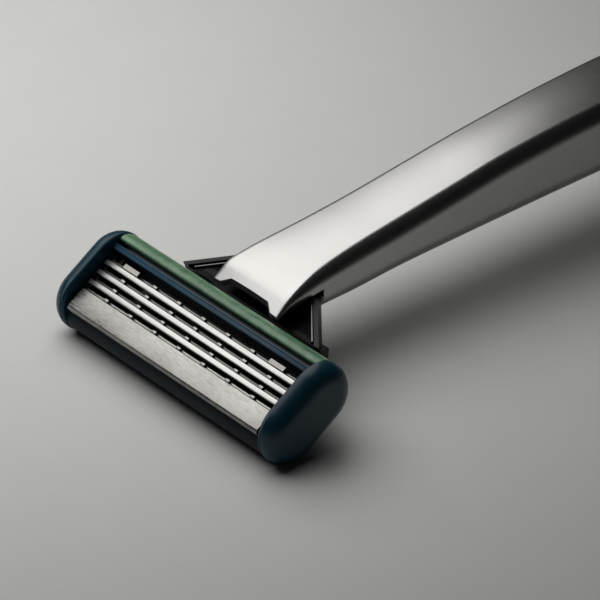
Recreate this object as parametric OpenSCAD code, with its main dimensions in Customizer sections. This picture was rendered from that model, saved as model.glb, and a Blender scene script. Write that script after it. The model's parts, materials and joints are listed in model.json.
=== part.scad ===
// Cartridge razor: triple-blade pivoting cartridge on a snap-in yoke, satin metal handle.
// Millimetres, +Z up. The razor lies face up on its cap ends and tail: X runs along the
// blades, +Y from the cartridge to the tail, and the origin is the bottom centre of its box.

/* [Overall] */
// Length from the front of the cartridge to the end of the tail
razor_len = 135; // [110:1:165]
// Length of the cartridge over both end caps
cartridge_len = 41.2; // [34:0.1:50]
// Width of the handle at its widest
handle_w = 12; // [10:0.1:14.5]
// Highest point of the handle's back above the blade line
crest_rise = 9.3; // [7.8:0.1:11.5]
// Tilt of the blade face above the floor, in degrees
face_tilt = 33.3; // [26:0.1:40]

/* [Blades] */
// Distance from one cutting edge to the next
blade_pitch = 1.5; // [1.3:0.01:1.8]
// Width of a blade strip
blade_w = 0.66; // [0.5:0.01:0.8]
// Thickness of a blade strip
blade_t = 0.12; // [0.1:0.01:0.16]
// Depth that a blade can be pressed down
blade_float = 0.35; // [0.2:0.01:0.45]
// Thickness of the bent sheet under a blade
support_t = 0.25; // [0.2:0.01:0.3]
// Depth of a blade support below the blade face
support_h = 3.4; // [2.9:0.05:3.5]
// Distance between neighbouring pips on a blade support
pip_pitch = 4.5; // [4:0.1:5.4]
// Length of one pip
pip_len = 0.7; // [0.4:0.05:1]

/* [Cartridge] */
// Thickness of an end cap along the blades
cap_t = 2.6; // [2.2:0.05:3.2]
// Depth of an end cap, from face to back
cap_depth = 8.3; // [7.6:0.1:9.6]
// Height of an end cap above the blade face
cap_rise = 1.4; // [1:0.05:1.8]
// Rounding of the outer edge of an end cap
cap_round = 2.2; // [1.6:0.05:2.3]
// Distance from the front of an end cap to the top blade's back edge
cap_front = 8.8; // [8.5:0.05:10]
// Distance from the top blade's back edge to the rear of an end cap
cap_back = 4.8; // [4.8:0.05:5.7]
// Width of the steel guard plate
guard_plate_w = 2.7; // [2.3:0.05:3]
// Thickness of the guard plate's sheet
plate_t = 0.35; // [0.25:0.01:0.42]
// Radius of the soft guard bar
guard_r = 2.1; // [1.7:0.05:2.2]
// Width of the thin bar behind the blades
cap_bar_w = 0.75; // [0.5:0.05:0.9]
// Width of the lubricating strip
strip_w = 1.82; // [1.5:0.02:1.84]
// Height of the lubricating strip
strip_h = 2.55; // [2.1:0.05:2.6]
// Thickness of the frame's floor
frame_floor = 1; // [0.8:0.05:1.2]
// Width of a retaining clip
clip_w = 2.7; // [2:0.1:3.2]
// Thickness of a retaining clip
clip_t = 0.15; // [0.12:0.01:0.18]

/* [Pivot and yoke] */
// Radius of a pivot pin
pin_r = 0.75; // [0.6:0.05:0.9]
// Radial clearance of a pivot pin in the frame's ears
pin_clear = 0.05; // [0.02:0.01:0.08]
// Distance of the pivot below the blade face
pivot_depth = 6.6; // [6.5:0.05:7.2]
// Half width of the yoke where it meets the cartridge
yoke_half_w = 12.5; // [10.5:0.1:15]
// Thickness of the yoke's web
web_t = 1; // [0.8:0.05:1.2]
// Width of a yoke arm along the blades
arm_w = 1.8; // [1.5:0.1:2.1]
// Width of the nose that snaps into the handle
nose_w = 6; // [5:0.1:7]
// Thickness of the nose
nose_t = 1.9; // [1.6:0.05:2.2]
// Length of the nose
nose_len = 5.2; // [4.8:0.1:5.4]
// Clearance of the nose in its socket
nose_clear = 0.08; // [0.05:0.01:0.12]
// Slope of the web and of the socket, in degrees
yoke_slope = 22; // [19:0.5:24]
// Radius of a return wire
wire_r = 0.18; // [0.14:0.01:0.22]

/* [Handle] */
// Thickness of the hood's shell
hood_t = 0.9; // [0.6:0.05:1.1]
// Depth of the notch in the hood's front edge
notch_depth = 0.7; // [0.4:0.05:1]
// Width of the dock block in the handle's mouth
dock_w = 8.4; // [8:0.1:9]
// Height of the dock block
dock_h = 4.3; // [4:0.05:4.4]
// Travel of the release button
button_travel = 2; // [1.4:0.1:2.1]
// Length of the release button
button_len = 8; // [6.5:0.1:9.6]
// Width of the release button
button_w = 5; // [4.2:0.1:6]
// Radius of the ejector rod
rod_r = 0.6; // [0.5:0.02:0.72]
// Width of the grip insert
grip_w = 6.4; // [5.2:0.1:7.6]
// Depth of the grip insert
grip_t = 1.5; // [1.2:0.05:1.8]
// Radius of the balance weight
weight_r = 2.6; // [2.2:0.05:3]
// Length of the balance weight
weight_len = 26; // [20:0.5:31]
// Length of the tail cap
tail_cap_len = 6; // [5:0.1:7.2]
// Clearance between pieces that fit inside one another
fit = 0.05; // [0.03:0.01:0.08]

/* [Hidden] */

$fn = 32;
eps = 0.01;

// Cartridge section, in its own axes: x along the blades, y (v) from the guard to the strip,
// z (n) out of the blade face. The zero point is the middle of the top blade's back edge.
cap_end_r = cap_depth / 2;
cap_mid_n = cap_rise - cap_end_r;
cap_low_v = -cap_front + cap_end_r;
cap_high_v = cap_back - cap_end_r;
cap_x = cartridge_len / 2 - cap_t;          // inner face of an end cap
blade_half = cap_x - 0.5;                   // half length of a blade strip
floor_top = -(support_h + 1);               // top of the frame's floor
floor_bottom = floor_top - frame_floor;
plate_back = -3 * blade_pitch;              // back edge of the guard plate
plate_front = plate_back - guard_plate_w;
plate_lip = plate_front - 0.35;
wall_front = plate_front + 0.31;            // outer face of the frame's front wall
wall_t = 0.6;
bar_front = 1.5;                            // front face of the thin bar
strip_front = bar_front + cap_bar_w + 0.59; // front face of the lubricating strip
strip_top = 0.15;
strip_back = strip_front + strip_w;
strip_seat = strip_top - strip_h;
guard_v = wall_front + 0.4;                 // axis of the soft guard bar
guard_n = -0.9 - guard_r;
pivot_v = -2;
pivot_n = -pivot_depth;

// Heights and places in the razor's own Y-Z plane, from the same zero point
front_y = cap_low_v * cos(face_tilt) - cap_mid_n * sin(face_tilt) - cap_end_r;
floor_z = cap_low_v * sin(face_tilt) + cap_mid_n * cos(face_tilt) - cap_end_r;
tail_y = front_y + razor_len;
pivot_y = pivot_v * cos(face_tilt) - pivot_n * sin(face_tilt);
pivot_z = pivot_v * sin(face_tilt) + pivot_n * cos(face_tilt);
hood_y = 6.7;                               // front edge of the hood
mouth_y = 13.9;                             // front face of the handle's solid part
mouth_z = 1;                                // height of the web's top at the mouth
web_y = 13.4;                               // rear end of the web
dock_end_y = 22;
dock_low = -1.25;

// Handle outline: share of the length behind the mouth, top, bottom, share of the width.
// The top rises in a slow S to the crest and falls to the tail, which rests on the floor.
grip_run = tail_y - mouth_y;
OUTLINE = [
    [0.00, 3.70, -1.90, 0.96],
    [0.05, 4.45, -2.10, 0.92],
    [0.11, 5.35, -1.80, 0.90],
    [0.18, 6.45, -1.60, 0.89],
    [0.26, crest_rise - 1.6, -1.45, 0.88],
    [0.37, crest_rise - 0.5, -1.15, 0.90],
    [0.48, crest_rise, -1.00, 0.93],
    [0.59, crest_rise - 0.3, -1.40, 0.96],
    [0.70, crest_rise - 1.6, -2.70, 0.99],
    [0.81, crest_rise - 3.7, -4.70, 1.00],
    [0.91, crest_rise - 6.3, -7.00, 0.98],
    [1.00, crest_rise - 8.9, floor_z - 1.2, 0.93]];
// Hood outline: distance behind the front edge, top, bottom, share of the width, edge radius
HOOD = [
    [0.0, 0.45, -0.10, 0.975, 0.25],
    [0.8, 1.40, 0.30, 0.985, 0.5],
    [2.2, 2.35, 0.75, 1.000, 1.0],
    [4.4, 3.10, 1.10, 0.990, 1.6],
    [mouth_y - hood_y + 0.2, 3.72, 1.35, 0.952, 2.2]];
edge_r = 2.4;                               // rounding of the handle's long edges
SLICES = 30;

// Smooth curve through column c of the table t at position x (Catmull-Rom, uneven steps)
function cell(t, x, i = 0) = (i >= len(t) - 2 || x <= t[i + 1][0]) ? i : cell(t, x, i + 1);
function slope(t, c, i) =
    i <= 0 ? (t[1][c] - t[0][c]) / (t[1][0] - t[0][0]) :
    i >= len(t) - 1 ? (t[i][c] - t[i - 1][c]) / (t[i][0] - t[i - 1][0]) :
    (t[i + 1][c] - t[i - 1][c]) / (t[i + 1][0] - t[i - 1][0]);
function curve(t, c, x) =
    let (i = cell(t, x), d = t[i + 1][0] - t[i][0], s = (x - t[i][0]) / d)
    (2 * s * s * s - 3 * s * s + 1) * t[i][c] + (s * s * s - 2 * s * s + s) * d * slope(t, c, i)
    + (3 * s * s - 2 * s * s * s) * t[i + 1][c] + (s * s * s - s * s) * d * slope(t, c, i + 1);
function run_y(s) = mouth_y + s * grip_run;
function run_s(y) = (y - mouth_y) / grip_run;
function top_z(y) = curve(OUTLINE, 1, run_s(y));
function low_z(y) = curve(OUTLINE, 2, run_s(y));
function half_w(y) = curve(OUTLINE, 3, run_s(y)) * handle_w / 2;

module place() {
    translate([0, -(front_y + tail_y) / 2, -floor_z]) children();
}
module in_cartridge() {
    place() rotate([face_tilt, 0, 0]) children();
}
// Yoke axes: x along the blades, y up the web towards the handle, z out of the web
module in_yoke() {
    place() translate([0, web_y, mouth_z]) rotate([yoke_slope, 0, 0]) children();
}
// A block from its low corner to its high corner
module block(low, high) {
    translate(low) cube(high - low);
}
// A straight piece along x, from x0 to x1, with its section given by points in the y-z plane
module slab_x(points, x0, x1) {
    translate([x0, 0, 0]) rotate([90, 0, 90]) linear_extrude(x1 - x0) polygon(points);
}
module bar_x(points, half) {
    slab_x(points, -half, half);
}
module rod_x(r, y, z, x0, x1, sides = 32) {
    translate([x0, y, z]) rotate([0, 90, 0]) cylinder(r = r, h = x1 - x0, $fn = sides);
}
// Outline of a bent bar of half thickness r whose centre line runs p, q, t
function left_of(a) = [-a[1], a[0]] / norm(a);
function bent_bar(p, q, t, r) =
    let (a = left_of(q - p), b = left_of(t - q), m = 2 * (a + b) / ((a + b) * (a + b)))
    [p + r * a, q + r * m, t + r * b, t - r * b, q - r * m, p - r * a];
function corner(cx, cz, r, a0) = [for (a = [0:11.25:90]) [cx + r * cos(a0 + a), cz + r * sin(a0 + a)]];
// One closed skin over rings of points that have the same number of points each
module skin(rings) {
    n = len(rings[0]);
    m = len(rings);
    polyhedron(points = [for (r = rings) each r], faces = concat(
        [[for (k = [n - 1:-1:0]) k]],
        [[for (k = [0:n - 1]) (m - 1) * n + k]],
        [for (i = [0:m - 2], k = [0:n - 1]) let (a = i * n + k, b = i * n + (k + 1) % n) [a, b, b + n]],
        [for (i = [0:m - 2], k = [0:n - 1]) let (a = i * n + k, b = i * n + (k + 1) % n) [a, b + n, a + n]]));
}
// Rounded section of the handle, as points at y
function section(top, low, hw, rt, rb) = concat(
    corner(hw - rt, top - rt, rt, 0), corner(rt - hw, top - rt, rt, 90),
    corner(rb - hw, low + rb, rb, 180), corner(hw - rb, low + rb, rb, 270));
// One thin slice of the handle across Y, rounded with rt above and rb below
module slice(y, top, low, hw, rt, rb) {
    translate([0, y, 0]) rotate([90, 0, 0]) linear_extrude(eps) polygon(section(top, low, hw, rt, rb));
}
// The handle between two distances along Y
module handle_run(y0, y1, steps) {
    skin([for (j = [0:steps]) let (y = y0 + (y1 - y0) * j / steps)
        [for (p = section(top_z(y), low_z(y), half_w(y), edge_r, edge_r)) [p[0], y, p[1]]]]);
}
// The hood, or with an inset the room under it
module hood_run(inset = 0, drop = 0) {
    for (i = [0:len(HOOD) - 2]) hull() for (j = [i, i + 1]) {
        h = HOOD[j];
        r = max(h[4] - inset, 0.1);
        slice(hood_y + h[0], h[1] - inset, h[2] - drop, h[3] * handle_w / 2 - inset, r, 0.1);
    }
}

module hood() {
    difference() {
        hood_run();
        translate([0, -eps, 0]) hood_run(hood_t, 4);
        // notch between the two horns
        translate([0, hood_y, -2]) linear_extrude(6) polygon([
            [-handle_w * 0.38, -1], [-handle_w * 0.38, 0], [-handle_w * 0.28, notch_depth],
            [handle_w * 0.28, notch_depth], [handle_w * 0.38, 0], [handle_w * 0.38, -1]]);
    }
}

// ---- handle ----
slider_y = 27;                              // front end of the release button at rest
rod_z = 2;                                  // height of the ejector rod
rod_shoulder_y = 28;
cavity_end_y = slider_y + button_len + button_travel + 1;
grip_y0 = mouth_y + 0.26 * grip_run;
grip_y1 = mouth_y + 0.78 * grip_run;
grip_proud = 0.3;                           // how far the insert stands out of the handle
cap_joint_y = tail_y - tail_cap_len;
weight_y1 = cap_joint_y - 2.5;
weight_y0 = weight_y1 - weight_len;
weight_z0 = (top_z(weight_y0) + low_z(weight_y0)) / 2;
weight_z1 = (top_z(weight_y1) + low_z(weight_y1)) / 2;
weight_tilt = atan2(weight_z1 - weight_z0, weight_len);
nose_top = -0.2;                            // faces of the nose, in the yoke's axes
nose_low = nose_top - nose_t;
// front end of the ejector rod, which at full travel stops 0.2 short of the nose
rod_tip_y = web_y + nose_len * cos(yoke_slope) - (nose_low + 0.4) * sin(yoke_slope)
    + button_travel + 0.2;
screw_y = 17.5;
screw_head_r = 1.1;
screw_r = 0.55;

// Axes of the tail's bore: z runs from its inner end out through the tail
module in_tail_bore() {
    translate([0, weight_y0, weight_z0]) rotate([weight_tilt - 90, 0, 0]) children();
}
// Room under the handle for the release button, then the channel for its ejector
module button_room(gap) {
    low = low_z(slider_y);
    block([-button_w / 2 - gap, slider_y - button_travel - gap, low - 2],
          [button_w / 2 + gap, slider_y + button_len + gap, low + 1.1 + gap]);
}
// The curved strip that the grip insert fills: w wide, from down below the handle to up in it
module grip_strip(w, up, down, ends = 0) {
    steps = 24;
    y0 = grip_y0 - ends;
    run = grip_y1 - grip_y0 + 2 * ends;
    bar_x(concat([for (i = [0:steps]) let (y = y0 + run * i / steps) [y, low_z(y) - down]],
                 [for (i = [steps:-1:0]) let (y = y0 + run * i / steps) [y, low_z(y) + up]]), w / 2);
}

module handle_body() {
    color("silver") place() difference() {
        union() {
            handle_run(mouth_y, cap_joint_y, SLICES);
            hood();
        }
        // mouth for the dock block
        block([-dock_w / 2 - fit, mouth_y - 1, dock_low - fit],
              [dock_w / 2 + fit, dock_end_y + fit, dock_low + dock_h + fit]);
        // relief where the yoke's arms pass under the hood
        rod_x(0.75, mouth_y - 0.7, 0.9, -handle_w, handle_w);
        button_room(0.15);
        // channel for the ejector and its spring
        block([-1.5, dock_end_y, 0.3], [1.5, cavity_end_y, 3.2]);
        block([-1.5, slider_y - button_travel, low_z(slider_y)], [1.5, cavity_end_y, 1]);
        // seat of the grip insert
        grip_strip(grip_w + 2 * fit, grip_t - grip_proud + fit, 1, fit);
        // bore for the balance weight and the tail cap's spigot
        in_tail_bore() cylinder(r = weight_r + fit, h = weight_len + 12);
        // dock screw
        translate([0, screw_y, -5]) cylinder(r = screw_r + 0.1, h = 6);
        translate([0, screw_y, -5]) cylinder(r = screw_head_r + 0.1, h = 5 + low_z(screw_y) + 0.6);
    }
}
module dock_block() {
    color("#26282a") place() difference() {
        block([-dock_w / 2, mouth_y, dock_low], [dock_w / 2, dock_end_y, dock_low + dock_h]);
        translate([0, web_y, mouth_z]) rotate([yoke_slope, 0, 0]) {
            socket();
            // pocket of the detent spring, under the socket
            detent_room();
        }
        // bore of the ejector rod
        translate([0, web_y + 3, rod_z]) rotate([-90, 0, 0]) cylinder(r = rod_r + fit, h = 12);
        translate([0, screw_y, dock_low - 1]) cylinder(r = screw_r, h = 2);
    }
}
// Socket for the nose, open towards the mouth
module socket() {
    block([-nose_w / 2 - nose_clear, -4, nose_low - nose_clear],
          [nose_w / 2 + nose_clear, nose_len + 4 * nose_clear, nose_top + nose_clear]);
}
detent_u = 3.6;                             // middle of the detent, along the nose
groove_r = 0.6;
leaf_half_w = 1.2;
leaf_half_l = 1.9;
leaf_t = 0.15;
leaf_low = nose_low - nose_clear - 0.5;
module detent_room() {
    block([-leaf_half_w - 0.5, detent_u - leaf_half_l - 0.1, leaf_low],
          [leaf_half_w + 0.5, detent_u + leaf_half_l + 0.1, nose_low]);
}
// Leaf with a raised bump that snaps into the groove under the nose
module detent_spring() {
    color("gainsboro") in_yoke() {
        block([-leaf_half_w, detent_u - leaf_half_l, leaf_low],
              [leaf_half_w, detent_u + leaf_half_l, leaf_low + leaf_t]);
        difference() {
            rod_x(groove_r - 0.05, detent_u, leaf_low + leaf_t - 0.02, -leaf_half_w, leaf_half_w);
            rod_x(groove_r - 0.2, detent_u, leaf_low + leaf_t - 0.02, -2, 2);
            block([-2, detent_u - 1, leaf_low - 2], [2, detent_u + 1, leaf_low + leaf_t / 2]);
        }
    }
}
module dock_screw() {
    low = low_z(screw_y);
    color("dimgray") place() difference() {
        union() {
            translate([0, screw_y, dock_low - fit]) cylinder(r = screw_r - 0.02, h = 0.95);
            translate([0, screw_y, low + 0.6 - 0.55]) cylinder(r = screw_head_r, h = 0.55);
            translate([0, screw_y, low + 0.55]) cylinder(r = screw_r, h = dock_low - fit - low - 0.55);
        }
        // cross recess
        for (a = [0, 90]) translate([0, screw_y, low]) rotate(a)
            translate([-0.7, -0.13, -1]) cube([1.4, 0.26, 1.3]);
    }
}
module grip_insert() {
    color("#20242a") place() difference() {
        grip_strip(grip_w, grip_t - grip_proud, grip_proud);
        // cross grooves for the fingers
        for (y = [grip_y0 + 3:2.4:grip_y1 - 3])
            translate([-grip_w, y, low_z(y + 0.45) - 1]) cube([2 * grip_w, 0.9, 1.15]);
    }
}
module balance_weight() {
    color("darkgray") place() in_tail_bore() translate([0, 0, fit])
        cylinder(r = weight_r, h = weight_len - fit);
}
module tail_cap() {
    color("silver") place() difference() {
        union() {
            handle_run(cap_joint_y + 0.15, tail_y - 1, 8);
            hull() {
                slice(tail_y - 1, top_z(tail_y - 1), low_z(tail_y - 1), half_w(tail_y - 1), edge_r, edge_r);
                slice(tail_y, top_z(tail_y) - 1, floor_z + 0.7, half_w(tail_y) - 1, 1.6, 1.6);
            }
            // spigot in the handle's bore
            intersection() {
                in_tail_bore() translate([0, 0, weight_len + 0.5]) cylinder(r = weight_r, h = 12);
                translate([-10, weight_y0, -20]) cube([20, cap_joint_y + 0.5 - weight_y0, 40]);
            }
        }
        // flat land that the tail rests on
        translate([-20, 0, floor_z - 10]) cube([40, 2 * razor_len, 10]);
    }
}

// ---- release ----
module release_button() {
    low = low_z(slider_y);
    color("#2b2e31") place() difference() {
        block([-button_w / 2, slider_y, low - 0.5], [button_w / 2, slider_y + button_len, low + 1.05]);
        // thumb ridges
        for (i = [1:5]) translate([-button_w, slider_y + i * button_len / 6 - 0.3, low - 1])
            cube([2 * button_w, 0.6, 0.8]);
        // seat of the ejector's foot
        block([-1.2, slider_y + 1, low + 0.4], [1.2, slider_y + 5, low + 2]);
    }
}
module ejector() {
    color("gray") place() {
        translate([0, rod_tip_y, rod_z]) rotate([-90, 0, 0])
            cylinder(r = rod_r, h = rod_shoulder_y - rod_tip_y);
        block([-1.15, rod_shoulder_y, rod_z - 1.1], [1.15, slider_y + 4.95, rod_z + 1.05]);
        block([-1.15, slider_y + 1.05, low_z(slider_y) + 0.4], [1.15, slider_y + 4.95, rod_z - 1.1]);
    }
}
// Coil that pushes the ejector and the button back
module ejector_spring() {
    turns = 5;
    coil_r = 0.9;
    wire = 0.12;
    pitch = (rod_shoulder_y - dock_end_y - 0.5) / turns;
    color("gainsboro") place() for (i = [0:turns - 1])
        translate([0, dock_end_y + 0.3 + pitch * (i + 0.5), rod_z]) rotate([-90, 0, 0])
            rotate_extrude() translate([coil_r, 0]) circle(r = wire, $fn = 16);
}

// ---- yoke ----
web_front_u = -6.25;                        // front edge of the web
web_rear_u = 0.1;
mouth_half = 5.3;                           // half width of the web at the mouth
rim_w = 0.9;                                // width of a raised rim, along the blades
rim_h = 0.45;
rim_rear_u = -1;
elbow = [8.1, -4.4];
arm_half_t = 0.65;                          // half thickness of a yoke arm
arm_x0 = yoke_half_w - 0.1 - arm_w;
arm_x1 = arm_x0 + arm_w;
boss_r = pin_r + 0.3;
boss_proud = 0.1;
pin_seat = 0.4;                             // wall left behind a pin's blind end
web_spread = (yoke_half_w - mouth_half) / (web_rear_u - web_front_u);

// Half width of the web at u, and places on the yoke in the razor's own Y-Z plane
function web_half(u) = mouth_half + (web_rear_u - u) * web_spread;
function yoke_yz(u, n) = [web_y + u * cos(yoke_slope) - n * sin(yoke_slope),
                          mouth_z + u * sin(yoke_slope) + n * cos(yoke_slope)];

module yoke() {
    color("#131415") {
        in_yoke() {
            difference() {
                translate([0, 0, -web_t]) linear_extrude(web_t) polygon([
                    [-yoke_half_w, web_front_u], [yoke_half_w, web_front_u],
                    [mouth_half, web_rear_u], [-mouth_half, web_rear_u]]);
                // seats of the return wires
                for (side = [-1, 1]) wire_path(side, wire_r + 0.03, 0.1);
            }
            // raised rims along the slanting edges
            for (s = [0, 1]) mirror([s, 0, 0]) translate([0, 0, -web_t / 2])
                linear_extrude(web_t / 2 + rim_h) polygon([
                    [web_half(web_front_u), web_front_u], [web_half(rim_rear_u), rim_rear_u],
                    [web_half(rim_rear_u) - rim_w, rim_rear_u],
                    [web_half(web_front_u) - rim_w, web_front_u]]);
            // nose, with the groove that the detent spring snaps into
            difference() {
                bar_x([[-2.5, -web_t / 2], [-2.5, -web_t], [-1.9, nose_low], [nose_len - 0.4, nose_low],
                       [nose_len, nose_low + 0.4], [nose_len, nose_top], [-0.5, nose_top],
                       [-0.5, -web_t / 2]], nose_w / 2);
                rod_x(groove_r, detent_u, nose_low - 0.1, -nose_w, nose_w);
            }
        }
        place() for (s = [0, 1]) mirror([s, 0, 0]) difference() {
            union() {
                slab_x(bent_bar(yoke_yz(web_front_u + arm_half_t + 0.05, -web_t / 2), elbow,
                                [pivot_y, pivot_z], arm_half_t), arm_x0, arm_x1);
                rod_x(boss_r, pivot_y, pivot_z, arm_x0 - boss_proud, arm_x1 + boss_proud);
            }
            rod_x(pin_r, pivot_y, pivot_z, arm_x0 + pin_seat, arm_x1 + 1);
        }
    }
}
// Line of a return wire on the web, at the inner foot of the raised rim
module wire_path(side, r, longer = 0) {
    u = web_front_u + 0.35;
    run = norm([web_rear_u - web_front_u, yoke_half_w - mouth_half]) - 1.1;
    mirror([side < 0 ? 1 : 0, 0, 0])
        translate([web_half(u) - rim_w - 0.4, u, 0.1]) rotate([0, 0, atan2(1, -web_spread)])
            rotate([0, 90, 0]) translate([0, 0, -longer]) cylinder(r = r, h = run + 2 * longer, $fn = 16);
}
module return_wire_left() {
    color("whitesmoke") in_yoke() wire_path(-1, wire_r);
}
module return_wire_right() {
    color("whitesmoke") in_yoke() wire_path(1, wire_r);
}
module pivot_pin(side) {
    color("silver") place() mirror([side < 0 ? 1 : 0, 0, 0])
        rod_x(pin_r, pivot_y, pivot_z, arm_x0 + pin_seat, ear_x1 - 0.1);
}
module pivot_pin_left() { pivot_pin(-1); }
module pivot_pin_right() { pivot_pin(1); }

// ---- cartridge ----
ear_x0 = arm_x1 + 0.45;
ear_x1 = ear_x0 + 1.7;
ear_r = pin_r + pin_clear + 0.35;
comb_x0 = blade_half - 0.9;
comb_x1 = blade_half - 0.3;
peg_r = 0.8;
end_wall_t = 0.4;
cap_lip = 0.5;                              // rounding of an end cap's inner edge
window_w = 2.6;
clip_x = 3 * pip_pitch - 0.1;

slot_gap = 0.06;                            // play of a blade support in its guide

function blade_v(i) = -(i - 1) * blade_pitch;
function leg_v(i) = blade_v(i) - 0.45;      // front face of a blade support's leg

module cap_pegs(r, gap) {
    for (v = [cap_low_v, cap_high_v]) rod_x(r, v, cap_mid_n, cap_x - 0.2, cap_x + cap_t - 1.2 + gap);
}
module cartridge_frame() {
    color("#17191a") in_cartridge() difference() {
        union() {
            bar_x([[wall_front, floor_top], [wall_front, floor_bottom + 0.3],
                   [wall_front + 0.3, floor_bottom], [strip_back - 1, floor_bottom],
                   [strip_back, floor_bottom + 0.7 * frame_floor], [strip_back, floor_top]], cap_x);
            // front wall and rear rib that carry the guard plate
            bar_x([[wall_front, floor_top - eps], [wall_front + wall_t, floor_top - eps],
                   [wall_front + wall_t, -plate_t], [wall_front, -plate_t]], cap_x - 0.5);
            bar_x([[plate_back - 0.5, floor_top - eps], [plate_back - 0.12, floor_top - eps],
                   [plate_back - 0.12, -plate_t], [plate_back - 0.5, -plate_t]], cap_x - 0.5);
            for (s = [0, 1]) mirror([s, 0, 0]) {
                // combs that guide the blade supports
                block([comb_x0, plate_back - 0.3, floor_top - eps], [comb_x1, bar_front - 0.05, -1.55]);
                // end walls that carry the pegs of the end caps
                block([cap_x - end_wall_t, wall_front, floor_top - eps], [cap_x, bar_front - eps, -1.2]);
                // ears of the pivot
                block([ear_x0, pivot_v - ear_r, pivot_n], [ear_x1, pivot_v + ear_r, floor_bottom + 0.2]);
                rod_x(ear_r, pivot_v, pivot_n, ear_x0, ear_x1);
                cap_pegs(peg_r, 0);
            }
        }
        // guide slots of the three blade supports
        for (i = [1:3]) block([-cap_x, leg_v(i) - slot_gap, floor_top],
                              [cap_x, leg_v(i) + support_t + slot_gap, 0]);
        // rinse windows through the floor, between the ribs
        for (x = [-3:3]) for (i = [1:3])
            block([x * pip_pitch - window_w / 2, blade_v(i) - 1.15, floor_bottom - 1],
                  [x * pip_pitch + window_w / 2, blade_v(i) - 0.65, floor_top + 1]);
        // slots of the retaining clips
        for (s = [-1, 1]) block([s * clip_x - clip_w / 2 - fit, 0.55, floor_bottom - 1],
                                [s * clip_x + clip_w / 2 + fit, 0.55 + clip_t + 2 * fit, 0]);
        for (s = [0, 1]) mirror([s, 0, 0]) rod_x(pin_r + pin_clear, pivot_v, pivot_n, ear_x0 - 1, ear_x1 + 1);
    }
}
// Half outline of an end cap: distance from the axis of its round end, then x
function cap_outline() = concat(
    [[0, 0]],
    [for (a = [-90:15:0]) [cap_end_r - cap_lip + cap_lip * cos(a), cap_lip + cap_lip * sin(a)]],
    [for (a = [0:9:90]) [cap_end_r - cap_round + cap_round * cos(a), cap_t - cap_round + cap_round * sin(a)]],
    [[0, cap_t]]);
module end_cap(side) {
    color("#16263a") in_cartridge() mirror([side < 0 ? 1 : 0, 0, 0]) difference() {
        translate([cap_x, 0, cap_mid_n]) rotate([90, 0, 90]) hull()
            for (v = [cap_low_v, cap_high_v])
                translate([v, 0, 0]) rotate_extrude($fn = 48) polygon(cap_outline());
        cap_pegs(peg_r + fit, fit);
    }
}
module end_cap_left() { end_cap(-1); }
module end_cap_right() { end_cap(1); }
module guard_bar() {
    color("#1b2f45") in_cartridge() intersection() {
        rod_x(guard_r, guard_v, guard_n, -cap_x, cap_x, 64);
        block([-cap_x, guard_v - 2 * guard_r, floor_bottom], [cap_x, wall_front, 0]);
    }
}
module pips(v) {
    for (i = [-3:3]) block([i * pip_pitch - pip_len / 2, v + 0.12, -0.61],
                           [i * pip_pitch + pip_len / 2, v + 0.42, -0.3]);
}
module guard_plate() {
    v = plate_back;
    color("silver") in_cartridge() {
        bar_x([[v, 0], [plate_front, 0], [plate_lip, -0.25], [plate_lip, -0.85], [plate_lip + 0.3, -0.85],
               [plate_lip + 0.3, -plate_t], [v - 0.12, -plate_t], [v - 0.12, -1.05],
               [v + 0.42, -1.05], [v + 0.42, -0.6], [v + 0.12, -0.6],
               [v + 0.12, -0.8], [v, -0.8]], blade_half);
        pips(v);
    }
}
module blade(i) {
    v = blade_v(i);
    color("white") in_cartridge()
        bar_x([[v, -blade_t], [v, 0], [v - blade_w + 0.08, 0], [v - blade_w, -blade_t / 2],
               [v - blade_w + 0.08, -blade_t]], blade_half);
}
module blade_support(i) {
    v = blade_v(i);
    leg = leg_v(i);
    color("dimgray") in_cartridge() {
        bar_x([[leg, -support_h], [leg + support_t, -support_h], [leg + support_t, -1.05], [v + 0.42, -1.05],
               [v + 0.42, -0.6], [v + 0.12, -0.6], [v + 0.12, -0.8], [leg + support_t, -0.8],
               [leg + support_t, -blade_t], [leg, -blade_t]], blade_half - 0.2);
        pips(v);
    }
}
// Two bowed leaves that push a blade support up
module blade_spring(i) {
    v = leg_v(i);
    rise = -support_h - floor_top;
    span = 11;
    bow_r = (span * span / 4 + rise * rise) / (2 * rise);
    leaf = 0.12;
    color("gainsboro") in_cartridge() for (s = [-1, 1]) intersection() {
        translate([s * 7.5, v + 0.02, -support_h - 0.02 - bow_r]) rotate([-90, 0, 0]) difference() {
            cylinder(r = bow_r, h = support_t - 0.04, $fn = 180);
            translate([0, 0, -1]) cylinder(r = bow_r - leaf, h = 3, $fn = 180);
        }
        block([s * 7.5 - span / 2, v, floor_top + 0.01], [s * 7.5 + span / 2, v + 1, 0]);
    }
}
module cap_bar() {
    low = bar_front + cap_bar_w;
    color("#3a4a5a") in_cartridge()
        bar_x([[bar_front, floor_top], [low, floor_top], [low, 0.02], [low - 0.12, 0.1], [low - 0.2, 0.02],
               [bar_front + 0.1, -0.02], [bar_front, -0.12]], cap_x);
}
module strip_carrier() {
    front = bar_front + cap_bar_w;
    color("#14232f") in_cartridge()
        bar_x([[front, floor_top], [strip_back, floor_top], [strip_back, strip_seat],
               [strip_front, strip_seat], [strip_front, -1.2], [front, -1.2]], cap_x);
}
module lubricating_strip() {
    color("#55745f") in_cartridge()
        bar_x(concat(
            [[strip_front, strip_seat], [strip_front, strip_top - 0.12], [strip_front + 0.1, strip_top]],
            [for (a = [80:-5:0]) [strip_front + strip_w * cos(a), strip_seat + strip_h * sin(a)]]), cap_x);
}
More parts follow.
